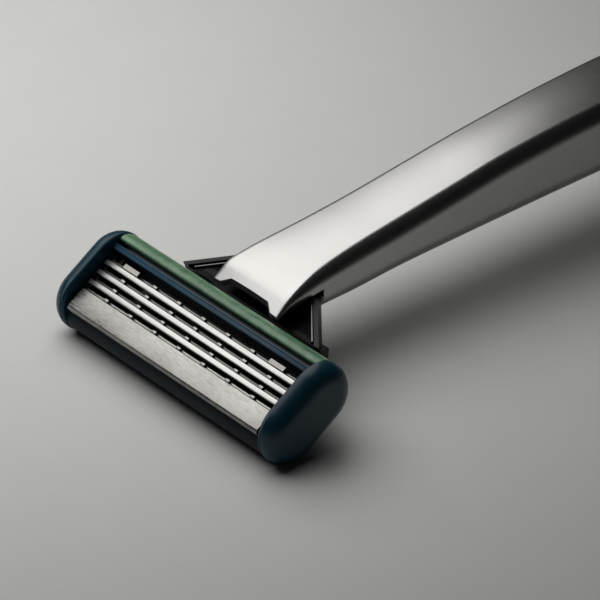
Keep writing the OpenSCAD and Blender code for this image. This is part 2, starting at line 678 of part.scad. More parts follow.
// Staple through the frame: its top tab lies over the top blade's support
module clip(side) {
    x = side * clip_x;
    v = 0.55 + fit;
    low = floor_bottom - clip_t - fit;
    color("lightgray") in_cartridge() {
        block([x - clip_w / 2, v, low], [x + clip_w / 2, v + clip_t, 0]);
        block([x - clip_w / 2, 0.12, -clip_t], [x + clip_w / 2, v, 0]);
        block([x - clip_w / 2, -0.7, low], [x + clip_w / 2, v, low + clip_t]);
    }
}
module clip_left() { clip(-1); }
module clip_right() { clip(1); }

handle_body();
dock_block();
dock_screw();
detent_spring();
grip_insert();
balance_weight();
tail_cap();
release_button();
ejector();
ejector_spring();
yoke();
return_wire_left();
return_wire_right();
pivot_pin_left();
pivot_pin_right();
cartridge_frame();
end_cap_left();
end_cap_right();
guard_bar();
guard_plate();
cap_bar();
strip_carrier();
lubricating_strip();
clip_left();
clip_right();
blade(1);  // blade_1
blade(2);  // blade_2
blade(3);  // blade_3
blade_support(1);  // blade_support_1
blade_support(2);  // blade_support_2
blade_support(3);  // blade_support_3
blade_spring(1);  // blade_spring_1
blade_spring(2);  // blade_spring_2
blade_spring(3);  // blade_spring_3
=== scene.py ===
"""Looks of a cartridge razor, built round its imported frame.

Lengths in the classes are millimetres. Each piece is modelled in the working axes of its own
sub-assembly, whose origin is the middle of the top blade's back edge, and is put in its place in
the frame, in metres, when it is finished. Where the frame has a size or a place, it is read there.
"""
import json
import logging
import math
from collections.abc import Callable, Sequence
from dataclasses import dataclass, field
from enum import Enum

import bmesh
import bpy
from mathutils import Matrix, Vector


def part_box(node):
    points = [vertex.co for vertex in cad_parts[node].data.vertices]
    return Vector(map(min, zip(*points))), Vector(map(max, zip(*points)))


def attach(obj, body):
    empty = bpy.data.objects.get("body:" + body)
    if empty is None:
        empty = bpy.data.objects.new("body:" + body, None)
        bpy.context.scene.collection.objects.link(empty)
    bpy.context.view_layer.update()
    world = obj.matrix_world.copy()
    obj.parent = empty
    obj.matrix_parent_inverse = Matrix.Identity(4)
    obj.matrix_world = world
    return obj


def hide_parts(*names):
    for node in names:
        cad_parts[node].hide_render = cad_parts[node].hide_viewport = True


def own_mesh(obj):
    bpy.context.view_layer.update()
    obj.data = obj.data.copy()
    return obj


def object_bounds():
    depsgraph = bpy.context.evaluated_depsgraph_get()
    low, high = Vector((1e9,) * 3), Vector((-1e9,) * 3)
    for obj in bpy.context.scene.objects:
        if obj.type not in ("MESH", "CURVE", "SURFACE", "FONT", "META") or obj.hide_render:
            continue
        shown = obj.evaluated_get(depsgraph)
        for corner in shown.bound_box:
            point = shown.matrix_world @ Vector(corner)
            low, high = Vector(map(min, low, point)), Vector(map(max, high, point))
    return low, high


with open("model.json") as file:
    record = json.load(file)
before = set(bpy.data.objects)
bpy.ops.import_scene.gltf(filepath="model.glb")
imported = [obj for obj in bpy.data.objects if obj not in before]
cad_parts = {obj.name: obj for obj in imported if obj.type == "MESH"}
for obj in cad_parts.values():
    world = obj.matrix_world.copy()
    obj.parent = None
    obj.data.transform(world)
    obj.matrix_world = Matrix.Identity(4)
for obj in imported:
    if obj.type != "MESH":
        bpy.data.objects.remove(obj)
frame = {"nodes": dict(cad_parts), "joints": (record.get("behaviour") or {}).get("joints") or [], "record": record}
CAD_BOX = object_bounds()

log = logging.getLogger("razor")
MM = 0.001
BLADE_THICKNESS = 0.12
SHARP = math.radians(30)                # edges that turn more are rounded in the mesh
ROUNDED = math.radians(35)              # edges that turn more get the live rounding
MIX_A, MIX_B, MIX_RESULT = 6, 7, 2      # the colour sockets of a mix node
Point = tuple[float, float]
Mesh = bmesh.types.BMesh
Tree = bpy.types.NodeTree
Socket = bpy.types.NodeSocket
MADE: dict["Finish", bpy.types.Material] = {}


class Body(str, Enum):
    """The two bodies that most pieces ride on. The others are named by the record."""

    HANDLE = "handle"
    CARTRIDGE = "cartridge"


class Side(Enum):
    """The two ends of the cartridge."""

    LEFT = -1
    RIGHT = 1


class Lay(Enum):
    """How the marks of a finish lie, as their sizes along X, Y and Z in shares of the grain."""

    ALONG_BLADES = (40.0, 1.0, 1.0)
    SHORT_STROKES = (9.0, 1.0, 1.0)
    ACROSS_HANDLE = (14.0, 1.0, 5.0)
    EVEN = (1.0, 1.0, 1.0)


# ---- nodes and finishes ----


def linear(colour: str) -> tuple[float, float, float, float]:
    """Turns an sRGB hex colour into the linear colour that a shader takes.

    Args:
        colour: Six hex digits after a hash sign.

    Returns:
        Red, green and blue from 0 to 1, and an alpha of 1.
    """
    parts = [int(colour[i:i + 2], 16) / 255 for i in (1, 3, 5)]
    red, green, blue = (p / 12.92 if p <= 0.04045 else ((p + 0.055) / 1.055) ** 2.4 for p in parts)
    return red, green, blue, 1.0


def shade(colour: str, factor: float) -> tuple[float, float, float, float]:
    """Returns a hex colour in linear form, made lighter or darker by factor."""
    red, green, blue, alpha = linear(colour)
    return min(red * factor, 1), min(green * factor, 1), min(blue * factor, 1), alpha


def add_node(tree: Tree, kind: str, sockets: dict | None = None,
             **settings) -> bpy.types.Node:
    """Adds a node, with its settings and with a value or a link for each socket named.

    Args:
        tree: The node tree to add to.
        kind: The node's type name.
        sockets: A value, or another node's output, for each input by its name or number.
        **settings: The node's own properties.

    Returns:
        The new node.
    """
    node = tree.nodes.new(kind)
    for name, value in settings.items():
        setattr(node, name, value)
    for name, value in (sockets or {}).items():
        if isinstance(value, Socket):
            tree.links.new(value, node.inputs[name])
        else:
            node.inputs[name].default_value = value
    return node


@dataclass(frozen=True)
class Finish:
    """A material and how its surface was made.

    Attributes:
        name: The material's common name.
        colour: Its colour, as sRGB hex.
        roughness: How matt it is, from 0 to 1.
        grain: Width of its marks in millimetres.
        lay: How the marks lie.
        metallic: 1 for a metal, otherwise 0.
        ior: Index of refraction, which a metal leaves alone.
        contrast: Share by which the colour changes from mark to mark.
        spread: How far the roughness changes from mark to mark.
        relief: Height of the marks in millimetres.
        sheen: Weight of the soft bloom that elastomers have at grazing angles.
        cloud: Share by which the colour drifts over several millimetres.
        drift: Width of that drift in millimetres.
    """

    name: str
    colour: str
    roughness: float
    grain: float = 0.2
    lay: Lay = Lay.EVEN
    metallic: float = 0.0
    ior: float = 1.5
    contrast: float = 0.1
    spread: float = 0.05
    relief: float = 0.002
    sheen: float = 0.0
    cloud: float = 0.05
    drift: float = 7.0

    def marks(self, tree: Tree, size: float, lay: Lay, detail: float) -> Socket:
        """Adds a noise of marks in object space.

        Args:
            tree: The material's node tree.
            size: Width of a mark in millimetres.
            lay: How the marks lie.
            detail: Octaves of finer marks within them.

        Returns:
            The output that holds the marks, from 0 to 1.
        """
        place = add_node(tree, "ShaderNodeTexCoord")
        scale = Vector(1 / (MM * size * share) for share in lay.value)
        turned = add_node(tree, "ShaderNodeMapping", {"Vector": place.outputs["Object"], "Scale": scale})
        noise = add_node(tree, "ShaderNodeTexNoise", {
            "Vector": turned.outputs["Vector"], "Scale": 1.0, "Detail": detail, "Roughness": 0.6})
        return noise.outputs["Fac"]

    def tint(self, tree: Tree, marks: Socket) -> Socket:
        """Adds the colour, which changes from mark to mark and drifts over the surface.

        Args:
            tree: The material's node tree.
            marks: The marks, from 0 to 1.

        Returns:
            The output that holds the colour.
        """
        ramp = add_node(tree, "ShaderNodeValToRGB", {"Fac": marks})
        ramp.color_ramp.elements[0].position = 0.3
        ramp.color_ramp.elements[0].color = shade(self.colour, 1 - self.contrast)
        ramp.color_ramp.elements[1].position = 0.7
        ramp.color_ramp.elements[1].color = shade(self.colour, 1 + self.contrast)
        drift = self.marks(tree, self.drift, Lay.EVEN, 2.0)
        drift_level = add_node(tree, "ShaderNodeMapRange", {
            "Value": drift, "From Min": 0.3, "From Max": 0.7,
            "To Min": 1 - self.cloud, "To Max": 1 + self.cloud})
        level = add_node(tree, "ShaderNodeCombineColor", {
            "Red": drift_level.outputs["Result"], "Green": drift_level.outputs["Result"],
            "Blue": drift_level.outputs["Result"]})
        mixed = add_node(tree, "ShaderNodeMix", {
            "Factor": 1.0, MIX_A: ramp.outputs["Color"], MIX_B: level.outputs["Color"]},
            data_type="RGBA", blend_type="MULTIPLY")
        return mixed.outputs[MIX_RESULT]

    def material(self) -> bpy.types.Material:
        """Returns the finish as a material, which is made once and then shared."""
        if self in MADE:
            return MADE[self]
        made = MADE[self] = bpy.data.materials.new(self.name)
        made.use_nodes = True
        tree = made.node_tree
        tree.nodes.clear()
        marks = self.marks(tree, self.grain, self.lay, 3.0)
        rough = add_node(tree, "ShaderNodeMapRange", {
            "Value": marks, "From Min": 0.3, "From Max": 0.7,
            "To Min": max(self.roughness - self.spread, 0.03), "To Max": self.roughness + self.spread})
        relief = add_node(tree, "ShaderNodeBump", {
            "Height": marks, "Strength": 1.0, "Distance": self.relief * MM})
        shader = add_node(tree, "ShaderNodeBsdfPrincipled", {
            "Base Color": self.tint(tree, marks), "Roughness": rough.outputs["Result"],
            "Normal": relief.outputs["Normal"], "Metallic": self.metallic, "IOR": self.ior,
            "Sheen Weight": self.sheen, "Sheen Roughness": 0.4})
        add_node(tree, "ShaderNodeOutputMaterial", {"Surface": shader.outputs["BSDF"]})
        return made


@dataclass(frozen=True)
class SteepedStrip(Finish):
    """Polystyrene steeped with a water-soluble polymer, which dries in pale and dark streaks.

    Attributes:
        dark: Colour of the body where the polymer hasn't come to the surface.
        bloom: Width of the patches of bloom in millimetres.
        bloom_share: How much the fine marks add to the bloom.
    """

    dark: str = "#1f3a2a"
    bloom: float = 1.6
    bloom_share: float = 0.18

    def tint(self, tree: Tree, marks: Socket) -> Socket:
        """Adds the pale bloom in streaks over the dark body colour."""
        bloom = self.marks(tree, self.bloom, Lay.EVEN, 4.0)
        both = add_node(tree, "ShaderNodeMath", {0: marks, 1: bloom}, operation="MULTIPLY_ADD")
        both.inputs[2].default_value = self.bloom_share
        ramp = add_node(tree, "ShaderNodeValToRGB", {"Fac": both.outputs["Value"]})
        ramp.color_ramp.elements[0].position = 0.2
        ramp.color_ramp.elements[0].color = linear(self.dark)
        ramp.color_ramp.elements[1].position = 0.62
        ramp.color_ramp.elements[1].color = shade(self.colour, 1.1)
        return ramp.outputs["Color"]


# Stainless steel, satin brushed across the handle: a soft bright sheen with fine cross strokes.
HANDLE_STEEL = Finish("satin_stainless_steel", "#b4b3b0", 0.32, 0.12, Lay.ACROSS_HANDLE, 1.0,
                      contrast=0.04, spread=0.04, relief=0.0003, cloud=0.02)
# Stainless sheet, brushed along the blades: long streaks and a speckle of pits.
PLATE_STEEL = Finish("brushed_stainless_sheet", "#9a9894", 0.36, 0.13, Lay.SHORT_STROKES, 1.0,
                     contrast=0.45, spread=0.14, relief=0.0015, cloud=0.12)
# Hardened blade steel, ground along the edge and coated: light grey and even.
BLADE_STEEL = Finish("ground_blade_steel", "#b2b1ae", 0.3, 0.09, Lay.ALONG_BLADES, 1.0,
                     contrast=0.1, spread=0.06, relief=0.0003)
# Rolled strip under the blades, left dull from bending.
SUPPORT_STEEL = Finish("dull_rolled_steel", "#6e6c68", 0.42, 0.1, Lay.ALONG_BLADES, 1.0,
                       contrast=0.2, spread=0.1, relief=0.001)
# Pips stamped up from the rolled strip and rubbed bright by the blades.
PIP_STEEL = Finish("stamped_pip_steel", "#9b9995", 0.4, 0.1, Lay.EVEN, 1.0, contrast=0.15,
                   spread=0.08, relief=0.001)
# Aluminium strip, bright from the roll.
CLIP_ALUMINIUM = Finish("rolled_aluminium", "#8f8d89", 0.38, 0.1, Lay.ALONG_BLADES, 1.0,
                        contrast=0.06, spread=0.06, relief=0.001)
# Drawn music wire, polished by the die: a crisp line of light.
WIRE_STEEL = Finish("drawn_spring_wire", "#6c6a67", 0.2, 0.06, Lay.EVEN, 1.0,
                    contrast=0.04, spread=0.03, relief=0.0003)
# Zinc casting, as it left the die.
WEIGHT_ZINC = Finish("cast_zinc", "#8d8f90", 0.55, 0.3, Lay.EVEN, 1.0, contrast=0.12, relief=0.01)
# Steel screw with a black oxide skin.
SCREW_OXIDE = Finish("black_oxide_steel", "#2c2c2e", 0.4, 0.15, Lay.EVEN, 1.0, contrast=0.15)
# Thermoplastic elastomer, moulded in a finely etched tool: a dim satin with a soft bloom.
CAP_ELASTOMER = Finish("navy_thermoplastic_elastomer", "#073444", 0.36, 0.13, ior=1.42, contrast=0.08,
                       spread=0.05, relief=0.001, sheen=0.02)
# The same elastomer, moulded smoother where it meets the skin.
GUARD_ELASTOMER = Finish("navy_guard_elastomer", "#061c28", 0.6, 0.16, Lay.ALONG_BLADES,
                         ior=1.3, contrast=0.1, spread=0.05, relief=0.001)
# ABS, moulded with a light gloss.
BAR_ABS = Finish("blue_grey_abs", "#2b4c60", 0.33, 0.12, Lay.ALONG_BLADES, contrast=0.1,
                 relief=0.002, cloud=0.1)
# ABS in a dark teal, satin, so that the strip in it stands out.
CARRIER_ABS = Finish("dark_teal_abs", "#0f1d24", 0.4, 0.2, contrast=0.1)
# Glass-filled ABS of the frame: near black, with a faint brown cast inside.
FRAME_ABS = Finish("black_frame_abs", "#1d1a17", 0.45, 0.18, contrast=0.2, relief=0.003)
# Acetal, moulded black: slippery and half glossy.
YOKE_ACETAL = Finish("black_acetal", "#050506", 0.34, 0.3, ior=1.3, contrast=0.05, spread=0.02,
                     relief=0.0003)
# Acetal left grey: a slightly waxy sheen.
EJECTOR_ACETAL = Finish("grey_acetal", "#5b5d60", 0.38, 0.25, ior=1.48)
# ABS moulded black in a plain tool, dim and satin.
DOCK_ABS = Finish("black_dock_abs", "#151617", 0.4, 0.2, contrast=0.15)
# ABS moulded in a sparked tool, which breaks up the light.
BUTTON_ABS = Finish("charcoal_abs", "#25282b", 0.42, 0.2, contrast=0.12, relief=0.004)
# Moulded rubber of the grip, matt.
GRIP_RUBBER = Finish("charcoal_rubber", "#1c1f22", 0.62, 0.22, contrast=0.15, relief=0.012, sheen=0.12)
STRIP_POLYMER = SteepedStrip("steeped_green_polymer", "#76a37b", 0.36, 0.15, Lay.EVEN,
                             spread=0.08, relief=0.005, dark="#0e3a22")
# Paper sweep of the studio floor.
FLOOR_PAPER = Finish("pale_paper", "#e2e2de", 0.75, 0.35, contrast=0.015, relief=0.004, cloud=0.01)


# ---- working axes and pieces ----


@dataclass(frozen=True)
class Axes:
    """Working axes in millimetres: x along the blades, tilted about x.

    Attributes:
        origin: Their origin in the frame, in metres.
        tilt: Turn about x, in radians.
    """

    origin: Vector
    tilt: float = 0.0

    @property
    def matrix(self) -> Matrix:
        """The matrix from these axes to the frame."""
        turned = Matrix.Translation(self.origin) @ Matrix.Rotation(self.tilt, 4, "X")
        return turned @ Matrix.Scale(MM, 4)

    def local(self, point: Vector) -> Vector:
        """Returns a point of the frame in these axes."""
        return self.matrix.inverted() @ point


def find_axes() -> tuple[Axes, Axes]:
    """Works out the axes of the handle and of the cartridge from the frame.

    Returns:
        The axes of the handle, and those of the cartridge.
    """
    press = next(j["axis"] for j in frame["joints"] if j["name"] == "blade_1_float")
    face_tilt = math.atan2(press[1], -press[2])
    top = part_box("blade_1")[1]
    origin = Vector((0, top.y - BLADE_THICKNESS * MM * math.sin(face_tilt), top.z))
    return Axes(origin), Axes(origin, face_tilt)


HANDLE_AXES, CARTRIDGE_AXES = find_axes()


def prism(corners: Sequence[Sequence[float]], along: Sequence[float]) -> Mesh:
    """Extrudes a flat outline.

    Args:
        corners: The outline's corners.
        along: How far it is extruded, as a vector.

    Returns:
        The closed prism.
    """
    mesh = bmesh.new()
    base = mesh.faces.new([mesh.verts.new(corner) for corner in corners])
    grown = bmesh.ops.extrude_face_region(mesh, geom=[base], use_keep_orig=True)
    moved = [g for g in grown["geom"] if isinstance(g, bmesh.types.BMVert)]
    bmesh.ops.translate(mesh, verts=moved, vec=along)
    bmesh.ops.recalc_face_normals(mesh, faces=mesh.faces)
    return mesh


def bar(profile: Sequence[Point], start: float, end: float) -> Mesh:
    """Extrudes a section along x.

    Args:
        profile: The section's corners, in the y-z plane.
        start: Where the bar starts along x.
        end: Where it ends.

    Returns:
        The closed bar.
    """
    return prism([(start, y, z) for y, z in profile], (end - start, 0, 0))


def block(low: Sequence[float], high: Sequence[float]) -> Mesh:
    """Returns a box from its low corner to its high corner."""
    mesh = bmesh.new()
    bmesh.ops.create_cube(mesh, size=1.0)
    size = Vector(high) - Vector(low)
    bmesh.ops.scale(mesh, vec=size, verts=mesh.verts)
    bmesh.ops.translate(mesh, vec=Vector(low) + size / 2, verts=mesh.verts)
    return mesh


def join(target: Mesh, *others: Mesh) -> Mesh:
    """Adds other meshes to the first one, which is returned."""
    for other in others:
        loose = bpy.data.meshes.new("loose")
        other.to_mesh(loose)
        target.from_mesh(loose)
        bpy.data.meshes.remove(loose)
        other.free()
    return target


def round_edges(mesh: Mesh, radius: float, segments: int = 3,
                chosen: Callable[[bmesh.types.BMEdge], bool] | None = None) -> Mesh:
    """Rounds a mesh's sharp edges.

    Args:
        mesh: The mesh, which is changed.
        radius: Radius of the rounding.
        segments: Faces across the rounding.
        chosen: Tells which edges to round, or None for all that turn more than 30 degrees.

    Returns:
        The same mesh.
    """
    def is_sharp(edge: bmesh.types.BMEdge) -> bool:
        return len(edge.link_faces) == 2 and edge.calc_face_angle(0) > SHARP

    picked = [e for e in mesh.edges if is_sharp(e) and (chosen is None or chosen(e))]
    bmesh.ops.bevel(mesh, geom=picked, offset=radius, offset_type="OFFSET", segments=segments,
                    profile=0.5, affect="EDGES", clamp_overlap=True, material=-1)
    return mesh


def skin(rings: Sequence[Sequence[Vector]], close_ends: bool = True) -> Mesh:
    """Covers a row of closed rings that have the same number of points.

    Args:
        rings: The rings, in order along the piece.
        close_ends: Whether the first and the last ring get a face.

    Returns:
        The skin, with its normals outwards.
    """
    mesh = bmesh.new()
    rows = [[mesh.verts.new(p) for p in ring] for ring in rings]
    for low, high in zip(rows, rows[1:]):
        for i, corner in enumerate(low):
            before = i - 1
            mesh.faces.new((low[before], corner, high[i], high[before]))
    if close_ends:
        mesh.faces.new(rows[0])
        mesh.faces.new(rows[-1])
    bmesh.ops.remove_doubles(mesh, verts=mesh.verts, dist=1e-4)
    bmesh.ops.dissolve_degenerate(mesh, dist=1e-5, edges=mesh.edges)
    bmesh.ops.recalc_face_normals(mesh, faces=mesh.faces)
    return mesh


def close(mesh: Mesh) -> None:
    """Fills a mesh's open ends and turns its faces outwards."""
    bmesh.ops.holes_fill(mesh, edges=[e for e in mesh.edges if e.is_boundary], sides=0)
    bmesh.ops.recalc_face_normals(mesh, faces=mesh.faces)


def add_object(name: str, data: bpy.types.ID) -> bpy.types.Object:
    """Adds an object that shows the data to the scene."""
    made = bpy.data.objects.new(name, data)
    bpy.context.scene.collection.objects.link(made)
    return made


def add_mesh(name: str, mesh: Mesh, axes: Axes) -> bpy.types.Object:
    """Turns a mesh in working axes into an object in the frame, and frees the mesh."""
    bmesh.ops.transform(mesh, matrix=axes.matrix, verts=mesh.verts)
    shape = bpy.data.meshes.new(name)
    mesh.to_mesh(shape)
    mesh.free()
    return add_object(name, shape)


def handle_box(node: str) -> list[Vector]:
    """Returns a node's low and high corner in the handle's axes."""
    return [HANDLE_AXES.local(corner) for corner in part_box(node)]


@dataclass
class Piece:
    """A finished piece: its mesh, where it goes and what it stands for.

    Attributes:
        name: The piece's name.
        mesh: Its shape, in the working axes.
        axes: The working axes.
        body: The frame's body that it rides on.
        finish: Its finish.
        stands_for: The nodes that it replaces.
        edge: Radius of the live rounding of its edges in millimetres, or 0.
        crease: Angle past which an edge stays sharp, in degrees.
        cutters: Shapes that are cut out of it.
    """

    name: str
    mesh: Mesh
    axes: Axes
    body: Body | str
    finish: Finish
    stands_for: tuple[str, ...] = ()
    edge: float = 0.0
    crease: float = 35.0
    cutters: list[Mesh] = field(default_factory=list)

    def cut(self, made: bpy.types.Object) -> None:
        """Cuts the cutters out of the piece, one at a time."""
        for cutter in self.cutters:
            tool = add_mesh("cutter", cutter, self.axes)
            away = made.modifiers.new("cut", "BOOLEAN")
            away.operation = "DIFFERENCE"
            away.solver = "EXACT"
            away.object = tool
            bpy.context.view_layer.update()
            graph = bpy.context.evaluated_depsgraph_get()
            done = bpy.data.meshes.new_from_object(made.evaluated_get(graph))
            made.modifiers.remove(away)
            made.data = done
            bpy.data.objects.remove(tool)

    def place(self) -> bpy.types.Object:
        """Puts the piece in the frame and dresses it.

        Returns:
            The piece's object.
        """
        made = add_mesh(self.name, self.mesh, self.axes)
        self.cut(made)
        made.data.materials.clear()
        made.data.materials.append(self.finish.material())
        made.data.shade_smooth()
        made.data.set_sharp_from_angle(angle=math.radians(self.crease))
        if self.edge:
            rounding = made.modifiers.new("rounding", "BEVEL")
            rounding.width = self.edge * MM
            rounding.segments = 3
            rounding.limit_method = "ANGLE"
            rounding.angle_limit = ROUNDED
            rounding.harden_normals = True
        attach(made, self.body.value if isinstance(self.body, Body) else self.body)
        if self.stands_for:
            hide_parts(*self.stands_for)
        log.info("%s: %d faces, %s", self.name, len(made.data.polygons), self.finish.name)
        return made


def softened(node: str, finish: Finish, edge: float, name: str | None = None) -> bpy.types.Object:
    """Stands in a copy of a node with its facets merged and its edges rounded.

    Args:
        node: The frame's node.
        finish: Its finish.
        edge: Radius of its edges in millimetres.
        name: The piece's name, or None for one made from the node's.

    Returns:
        The piece's object.
    """
    source = frame["nodes"][node]
    mesh = bmesh.new()
    mesh.from_mesh(source.data)
    bmesh.ops.scale(mesh, vec=(1 / MM,) * 3, verts=mesh.verts)
    bmesh.ops.remove_doubles(mesh, verts=mesh.verts, dist=1e-4)
    bmesh.ops.dissolve_limit(mesh, angle_limit=math.radians(1), verts=mesh.verts, edges=mesh.edges)
    body = next(b for b, nodes in frame["record"]["behaviour"]["bodies"].items() if node in nodes)
    return Piece(name or f"{node}_piece", mesh, Axes(Vector()), body, finish, (node,), edge).place()


# ---- cartridge ----


@dataclass
class EndCap:
    """A soft cap over one end of the cartridge: a flat pill with a round outer edge.

    Attributes:
        side: The end it covers.
        rounding: Radius of the outer edge.
        lip: Radius of the inner edge.
        radius: Radius of the pill's two round ends.
        front: Centre of its front end behind the blade line.
        back: Centre of its rear end.
        middle: Height of both centres.
        steps: Faces round each end.
    """

    side: Side
    rounding: float = 2.2
    lip: float = 0.5
    radius: float = 4.15
    front: float = -4.65
    back: float = 0.65
    middle: float = -2.75
    steps: int = 28

    def outline(self) -> list[Point]:
        """Returns the pill's outline in the cartridge's y-z plane."""
        return [(centre + self.radius * math.cos(a), self.middle + self.radius * math.sin(a))
                for centre, start in ((self.back, -0.5), (self.front, 0.5))
                for a in (math.pi * (i / self.steps + start) for i in range(self.steps + 1))]

    def place(self) -> None:
        """Builds the cap and puts it in place."""
        node = f"end_cap_{self.side.name.lower()}"
        low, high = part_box(node)
        inner = (low.x if self.side is Side.RIGHT else high.x) / MM
        outer = (high.x if self.side is Side.RIGHT else low.x) / MM
        mesh = bar(self.outline(), inner, outer)
        for x, radius, segments in ((outer, self.rounding, 12), (inner, self.lip, 5)):
            round_edges(mesh, radius, segments,
                        lambda e, x=x: all(abs(v.co.x - x) < 1e-3 for v in e.verts))
        made = Piece(f"{node}_skin", mesh, CARTRIDGE_AXES, Body.CARTRIDGE, CAP_ELASTOMER,
                     (node,), crease=60).place()
        even = made.modifiers.new("even shading", "WEIGHTED_NORMAL")
        even.weight = 80


@dataclass
class Cartridge:
    """The housing of the blades: plate, guard, strip, caps, clips and springs.

    Attributes:
        pitch: Distance from one blade to the next.
        half: Half length of the blades.
        reach: Half length between the end caps.
        plate_w: Width of the guard plate.
        sheet: Thickness of the plate's sheet.
        ledge: Height of the underside of the ledge that carries the next blade's pips.
        pip_pitch: Distance between the pips on a support.
        pip_w: Width of a pip.
        bar_front: Front of the thin bar behind the blade line.
        bar_w: Thickness of the thin bar.
        bar_low: Height of its underside.
        strip_gap: Room between the thin bar and the strip.
        strip_w: Width of the lubricating strip.
        strip_h: Height of the strip over its seat.
        strip_top: Height of the strip over the blade line.
        strip_nose: Radius of the strip's front top edge.
        support_h: Height of a blade's support.
        support_t: Thickness of the support's sheet.
        leg_back: Distance from a blade's back edge to its support's leg.
        blade_w: Width of a blade.
        bevel: Length of the ground edge.
    """

    pitch: float = 1.5
    half: float = 17.5
    reach: float = 18.0
    plate_w: float = 2.7
    sheet: float = 0.35
    ledge: float = -1.05
    pip_pitch: float = 4.5
    pip_w: float = 0.7
    bar_front: float = 1.5
    bar_w: float = 0.75
    bar_low: float = -4.4
    strip_gap: float = 0.59
    strip_w: float = 1.82
    strip_h: float = 2.55
    strip_top: float = 0.15
    strip_nose: float = 0.3
    support_h: float = 3.4
    support_t: float = 0.25
    leg_back: float = 0.45
    blade_w: float = 0.66
    bevel: float = 0.1

    def build(self) -> None:
        """Builds every piece of the cartridge."""
        for side in Side:
            EndCap(side).place()
        self.guard_plate()
        self.thin_bar()
        self.strip()
        for number in (1, 2, 3):
            self.blade(number)
            self.support(number)
            self.leaf_spring(number)
        softened("guard_bar", GUARD_ELASTOMER, 0.12, "guard_bar_skin")
        softened("cartridge_frame", FRAME_ABS, 0.05)
        softened("strip_carrier", CARRIER_ABS, 0.08)
        for side in Side:
            softened(f"clip_{side.name.lower()}", CLIP_ALUMINIUM, 0.04)

    def leaf_spring(self, number: int) -> None:
        """Builds the pair of springs under one blade."""
        node = f"blade_spring_{number}"
        made = softened(node, WIRE_STEEL, 0.0)
        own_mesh(made)

    def pips(self, at: float) -> list[Mesh]:
        """Returns the small raised blocks along a support whose blade's back edge is at."""
        return [round_edges(block((x - self.pip_w / 2, at + 0.1, -0.62),
                                  (x + self.pip_w / 2, at + 0.46, -0.2)), 0.04, 2)
                for x in (self.pip_pitch * i for i in range(-3, 4))]

    def ledge_points(self, back: float) -> list[Point]:
        """Returns the section of the ledge behind a sheet, whose pips stand under the next blade."""
        return [(back + 0.42, self.ledge), (back + 0.42, -0.6), (back + 0.12, -0.6),
                (back + 0.12, -0.8)]

    def guard_plate(self) -> None:
        """Builds the wide steel plate in front of the blades, with its folded lip."""
        back = -3 * self.pitch
        front = back - self.plate_w
        lip = front - 0.35
        section = [(back, 0), (front, 0), (lip, -0.25), (lip, -0.85), (lip + 0.3, -0.85),
                   (lip + 0.3, -self.sheet), (back - 0.12, -self.sheet), (back - 0.12, self.ledge),
                   *self.ledge_points(back), (back, -0.8)]
        mesh = round_edges(bar(section, -self.half, self.half), 0.07, 3)
        Piece("guard_plate_sheet", mesh, CARTRIDGE_AXES, Body.CARTRIDGE, PLATE_STEEL,
              ("guard_plate",)).place()
        Piece("guard_plate_pips", join(*self.pips(back)), CARTRIDGE_AXES, Body.CARTRIDGE,
              PIP_STEEL).place()

    def thin_bar(self) -> None:
        """Builds the thin bar behind the blades, with the ridge along its upper edge."""
        front, back = self.bar_front, self.bar_front + self.bar_w
        section = [(front, self.bar_low), (back, self.bar_low), (back, 0.02), (back - 0.12, 0.1),
                   (back - 0.24, 0.0), (front + 0.1, -0.04), (front, -0.14)]
        mesh = round_edges(bar(section, -self.reach, self.reach), 0.04, 2)
        Piece("thin_bar", mesh, CARTRIDGE_AXES, Body.CARTRIDGE, BAR_ABS, ("cap_bar",)).place()

    def strip(self) -> None:
        """Builds the lubricating strip, a quarter ellipse with a rounded front top edge."""
        front = self.bar_front + self.bar_w + self.strip_gap
        seat = self.strip_top - self.strip_h
        nose = self.strip_nose
        section = [(front, seat), (front, self.strip_top - nose)]
        section += [(front + nose - nose * math.cos(a), self.strip_top - nose + nose * math.sin(a))
                    for a in (math.pi / 2 * i / 6 for i in range(1, 6))]
        section += [(front + self.strip_w * math.cos(a), seat + self.strip_h * math.sin(a))
                    for a in (math.radians(78 - 3 * i) for i in range(27))]
        mesh = bar(section, -self.reach, self.reach)
        Piece("lubricating_strip_body", mesh, CARTRIDGE_AXES, Body.CARTRIDGE, STRIP_POLYMER,
              ("lubricating_strip",), crease=50).place()

    def blade(self, number: int) -> None:
        """Builds one blade strip, ground to an edge at its front."""
        back = -(number - 1) * self.pitch
        front = back - self.blade_w
        ground = front + self.bevel
        section = [(back, -BLADE_THICKNESS), (back, 0), (ground, 0), (front, -BLADE_THICKNESS / 2),
                   (ground, -BLADE_THICKNESS)]
        mesh = round_edges(bar(section, -self.half, self.half), 0.02, 2)
        Piece(f"blade_{number}_strip", mesh, CARTRIDGE_AXES, f"blade_{number}", BLADE_STEEL,
              (f"blade_{number}",)).place()

    def support(self, number: int) -> None:
        """Builds the bent sheet under one blade, with its pips."""
        back = -(number - 1) * self.pitch
        leg = back - self.leg_back
        section = [(leg, -self.support_h), (leg + self.support_t, -self.support_h),
                   (leg + self.support_t, self.ledge), *self.ledge_points(back),
                   (leg + self.support_t, -0.8),
                   (leg + self.support_t, -BLADE_THICKNESS), (leg, -BLADE_THICKNESS)]
        mesh = round_edges(bar(section, 0.2 - self.half, self.half - 0.2), 0.03, 2)
        Piece(f"blade_support_{number}_sheet", mesh, CARTRIDGE_AXES, f"blade_{number}",
              SUPPORT_STEEL, (f"blade_support_{number}",)).place()
        Piece(f"blade_support_{number}_pips", join(*self.pips(back)), CARTRIDGE_AXES,
              f"blade_{number}", PIP_STEEL).place()


# ---- handle ----


